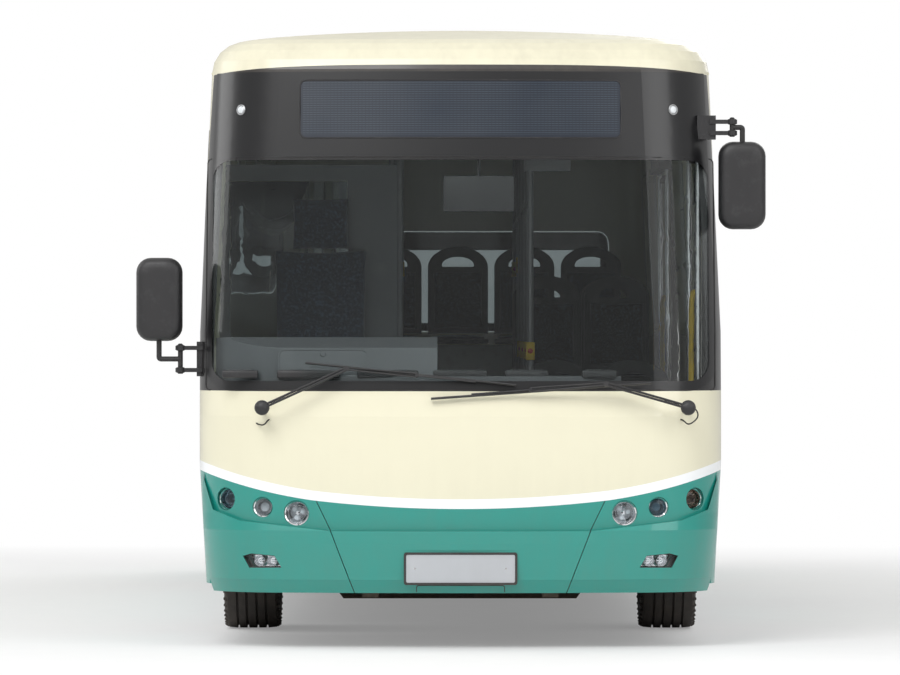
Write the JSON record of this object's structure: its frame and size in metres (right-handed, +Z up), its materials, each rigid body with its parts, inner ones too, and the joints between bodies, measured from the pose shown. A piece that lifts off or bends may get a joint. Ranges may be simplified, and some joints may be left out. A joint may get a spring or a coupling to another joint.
{
  "type": "city bus",
  "caption": "City bus body on its chassis with steered front wheels, twin rear wheels, gliding doors, wipers, mirrors and hatches.",
  "frame": {"origin": "on the ground, in the middle of the length and width", "axes": "+Z up, -Y is the front, +X is the kerb side with the doors"},
  "size_m": [3.0145, 10.5071, 2.994],
  "materials": {
    "roof": "gloss",
    "front_header": "gloss",
    "windscreen": "clear",
    "destination_sign": "gloss",
    "front_panel": "gloss",
    "bumper_center": "gloss",
    "bumper_corners": "gloss",
    "lamp_cups": "gloss",
    "lamp_lenses": "clear",
    "side_wall_left": "gloss",
    "side_wall_right": "gloss",
    "windows": "clear",
    "rear_wall": "gloss",
    "tail_lamps": "gloss",
    "rear_bumper": "gloss",
    "floor": "matte",
    "chassis_frame": "satin",
    "engine": "rough",
    "axle_front": "satin",
    "axle_rear": "satin",
    "air_springs": "matte",
    "door_gear": "satin",
    "mirror_brackets": "satin",
    "dashboard": "satin",
    "driver_fittings": "satin",
    "driver_cushions": "woven",
    "driver_partition": "satin",
    "passenger_seats": "satin",
    "grab_rails": "gloss",
    "knuckle_left": "satin",
    "tyre_front_left": "matte",
    "rim_front_left": "satin",
    "tyres_rear_left": "matte",
    "rims_rear_left": "satin",
    "knuckle_right": "satin",
    "tyre_front_right": "matte",
    "rim_front_right": "satin",
    "tyres_rear_right": "matte",
    "rims_rear_right": "satin",
    "steering_wheel": "satin",
    "door_post_front_fore": "satin",
    "door_leaf_front_fore": "gloss",
    "door_glass_front_fore": "clear",
    "door_post_front_aft": "satin",
    "door_leaf_front_aft": "gloss",
    "door_glass_front_aft": "clear",
    "door_post_middle_fore": "satin",
    "door_leaf_middle_fore": "gloss",
    "door_glass_middle_fore": "clear",
    "door_post_middle_aft": "satin",
    "door_leaf_middle_aft": "gloss",
    "door_glass_middle_aft": "clear",
    "engine_hatch": "gloss",
    "roof_hatch_front": "satin",
    "roof_hatch_rear": "satin",
    "wiper_right": "satin",
    "wiper_left": "satin",
    "mirror_right": "gloss",
    "mirror_left": "gloss"
  },
  "bodies": {
    "coach": {"roof": "roof", "front_header": "front_header", "windscreen": "windscreen", "destination_sign": "destination_sign", "front_panel": "front_panel", "bumper_center": "bumper_center", "bumper_corners": "bumper_corners", "lamp_cups": "lamp_cups", "lamp_lenses": "lamp_lenses", "side_wall_left": "side_wall_left", "side_wall_right": "side_wall_right", "windows": "windows", "rear_wall": "rear_wall", "tail_lamps": "tail_lamps", "rear_bumper": "rear_bumper", "floor": "floor", "chassis_frame": "chassis_frame", "engine": "engine", "axle_front": "axle_front", "axle_rear": "axle_rear", "air_springs": "air_springs", "door_gear": "door_gear", "mirror_brackets": "mirror_brackets", "dashboard": "dashboard", "driver_fittings": "driver_fittings", "driver_cushions": "driver_cushions", "driver_partition": "driver_partition", "passenger_seats": "passenger_seats", "grab_rails": "grab_rails"},
    "knuckle_left": {"knuckle_left": "knuckle_left"},
    "wheel_front_left": {"tyre_front_left": "tyre_front_left", "rim_front_left": "rim_front_left"},
    "wheels_rear_left": {"tyres_rear_left": "tyres_rear_left", "rims_rear_left": "rims_rear_left"},
    "knuckle_right": {"knuckle_right": "knuckle_right"},
    "wheel_front_right": {"tyre_front_right": "tyre_front_right", "rim_front_right": "rim_front_right"},
    "wheels_rear_right": {"tyres_rear_right": "tyres_rear_right", "rims_rear_right": "rims_rear_right"},
    "steering_wheel": {"steering_wheel": "steering_wheel"},
    "door_post_front_fore": {"door_post_front_fore": "door_post_front_fore"},
    "door_front_fore": {"door_leaf_front_fore": "door_leaf_front_fore", "door_glass_front_fore": "door_glass_front_fore"},
    "door_post_front_aft": {"door_post_front_aft": "door_post_front_aft"},
    "door_front_aft": {"door_leaf_front_aft": "door_leaf_front_aft", "door_glass_front_aft": "door_glass_front_aft"},
    "door_post_middle_fore": {"door_post_middle_fore": "door_post_middle_fore"},
    "door_middle_fore": {"door_leaf_middle_fore": "door_leaf_middle_fore", "door_glass_middle_fore": "door_glass_middle_fore"},
    "door_post_middle_aft": {"door_post_middle_aft": "door_post_middle_aft"},
    "door_middle_aft": {"door_leaf_middle_aft": "door_leaf_middle_aft", "door_glass_middle_aft": "door_glass_middle_aft"},
    "engine_hatch": {"engine_hatch": "engine_hatch"},
    "roof_hatch_front": {"roof_hatch_front": "roof_hatch_front"},
    "roof_hatch_rear": {"roof_hatch_rear": "roof_hatch_rear"},
    "wiper_right": {"wiper_right": "wiper_right"},
    "wiper_left": {"wiper_left": "wiper_left"},
    "mirror_right": {"mirror_right": "mirror_right"},
    "mirror_left": {"mirror_left": "mirror_left"}
  },
  "joints": [
    {"name": "kingpin_left", "type": "hinge", "parent": "coach", "child": "knuckle_left", "pos_m": [0.875, -2.945, 0.478], "axis": [0, 0, 1], "range_deg": [-40, 40]},
    {"name": "wheel_front_left_spin", "type": "hinge", "parent": "knuckle_left", "child": "wheel_front_left", "pos_m": [1.047, -2.945, 0.478], "axis": [1, 0, 0], "continuous": true},
    {"name": "wheels_rear_left_spin", "type": "hinge", "parent": "coach", "child": "wheels_rear_left", "pos_m": [1.056, 2.355, 0.478], "axis": [1, 0, 0], "continuous": true},
    {"name": "kingpin_right", "type": "hinge", "parent": "coach", "child": "knuckle_right", "pos_m": [-0.875, -2.945, 0.478], "axis": [0, 0, 1], "range_deg": [-40, 40]},
    {"name": "wheel_front_right_spin", "type": "hinge", "parent": "knuckle_right", "child": "wheel_front_right", "pos_m": [-1.047, -2.945, 0.478], "axis": [1, 0, 0], "continuous": true},
    {"name": "wheels_rear_right_spin", "type": "hinge", "parent": "coach", "child": "wheels_rear_right", "pos_m": [-1.056, 2.355, 0.478], "axis": [1, 0, 0], "continuous": true},
    {"name": "steering_wheel_turn", "type": "hinge", "parent": "coach", "child": "steering_wheel", "pos_m": [-0.69, -4.49, 1.3], "axis": [0, 0.5299, 0.848], "range_deg": [-720, 720]},
    {"name": "door_post_front_fore_turn", "type": "hinge", "parent": "coach", "child": "door_post_front_fore", "pos_m": [1.146, -4.64, 1.2], "axis": [0, 0, 1], "range_deg": [0, 80]},
    {"name": "door_front_fore_glide", "type": "hinge", "parent": "door_post_front_fore", "child": "door_front_fore", "pos_m": [1.146, -4.40725, 1.2], "axis": [0, 0, 1], "range_deg": [-160, 0]},
    {"name": "door_post_front_aft_turn", "type": "hinge", "parent": "coach", "child": "door_post_front_aft", "pos_m": [1.146, -3.635, 1.2], "axis": [0, 0, -1], "range_deg": [0, 80]},
    {"name": "door_front_aft_glide", "type": "hinge", "parent": "door_post_front_aft", "child": "door_front_aft", "pos_m": [1.146, -3.86775, 1.2], "axis": [0, 0, -1], "range_deg": [-160, 0]},
    {"name": "door_post_middle_fore_turn", "type": "hinge", "parent": "coach", "child": "door_post_middle_fore", "pos_m": [1.146, -0.62, 1.2], "axis": [0, 0, 1], "range_deg": [0, 80]},
    {"name": "door_middle_fore_glide", "type": "hinge", "parent": "door_post_middle_fore", "child": "door_middle_fore", "pos_m": [1.146, -0.3285, 1.2], "axis": [0, 0, 1], "range_deg": [-160, 0]},
    {"name": "door_post_middle_aft_turn", "type": "hinge", "parent": "coach", "child": "door_post_middle_aft", "pos_m": [1.146, 0.62, 1.2], "axis": [0, 0, -1], "range_deg": [0, 80]},
    {"name": "door_middle_aft_glide", "type": "hinge", "parent": "door_post_middle_aft", "child": "door_middle_aft", "pos_m": [1.146, 0.3285, 1.2], "axis": [0, 0, -1], "range_deg": [-160, 0]},
    {"name": "engine_hatch_lift", "type": "hinge", "parent": "coach", "child": "engine_hatch", "pos_m": [0, 5.226, 1.336], "axis": [1, 0, 0], "range_deg": [0, 75]},
    {"name": "roof_hatch_front_lift", "type": "hinge", "parent": "coach", "child": "roof_hatch_front", "pos_m": [0, -2.211, 2.974], "axis": [1, 0, 0], "range_deg": [0, 70]},
    {"name": "roof_hatch_rear_lift", "type": "hinge", "parent": "coach", "child": "roof_hatch_rear", "pos_m": [0, 2.189, 2.974], "axis": [1, 0, 0], "range_deg": [0, 70]},
    {"name": "wiper_right_sweep", "type": "hinge", "parent": "coach", "child": "wiper_right", "pos_m": [-0.937, -5.24579, 1.14469], "axis": [0, -0.9923, 0.1236], "range_deg": [0, 85]},
    {"name": "wiper_left_sweep", "type": "hinge", "parent": "coach", "child": "wiper_left", "pos_m": [1.074, -5.24579, 1.14469], "axis": [0, -0.9923, 0.1236], "range_deg": [-68, 0]},
    {"name": "mirror_right_fold", "type": "hinge", "parent": "coach", "child": "mirror_right", "pos_m": [-1.34, -4.8, 1.4], "axis": [0, 0, -1], "range_deg": [0, 60]},
    {"name": "mirror_left_fold", "type": "hinge", "parent": "coach", "child": "mirror_left", "pos_m": [1.3, -4.8, 2.45], "axis": [0, 0, 1], "range_deg": [0, 50]}
  ],
  "couplings": [
    {"joint": "kingpin_right", "follows": "kingpin_left", "ratio": 1},
    {"joint": "steering_wheel_turn", "follows": "kingpin_left", "ratio": 18},
    {"joint": "door_post_front_aft_turn", "follows": "door_post_front_fore_turn", "ratio": 1},
    {"joint": "door_front_fore_glide", "follows": "door_post_front_fore_turn", "ratio": -2},
    {"joint": "door_front_aft_glide", "follows": "door_post_front_fore_turn", "ratio": -2},
    {"joint": "door_post_middle_aft_turn", "follows": "door_post_middle_fore_turn", "ratio": 1},
    {"joint": "door_middle_fore_glide", "follows": "door_post_middle_fore_turn", "ratio": -2},
    {"joint": "door_middle_aft_glide", "follows": "door_post_middle_fore_turn", "ratio": -2},
    {"joint": "wiper_left_sweep", "follows": "wiper_right_sweep", "ratio": -0.8}
  ]
}
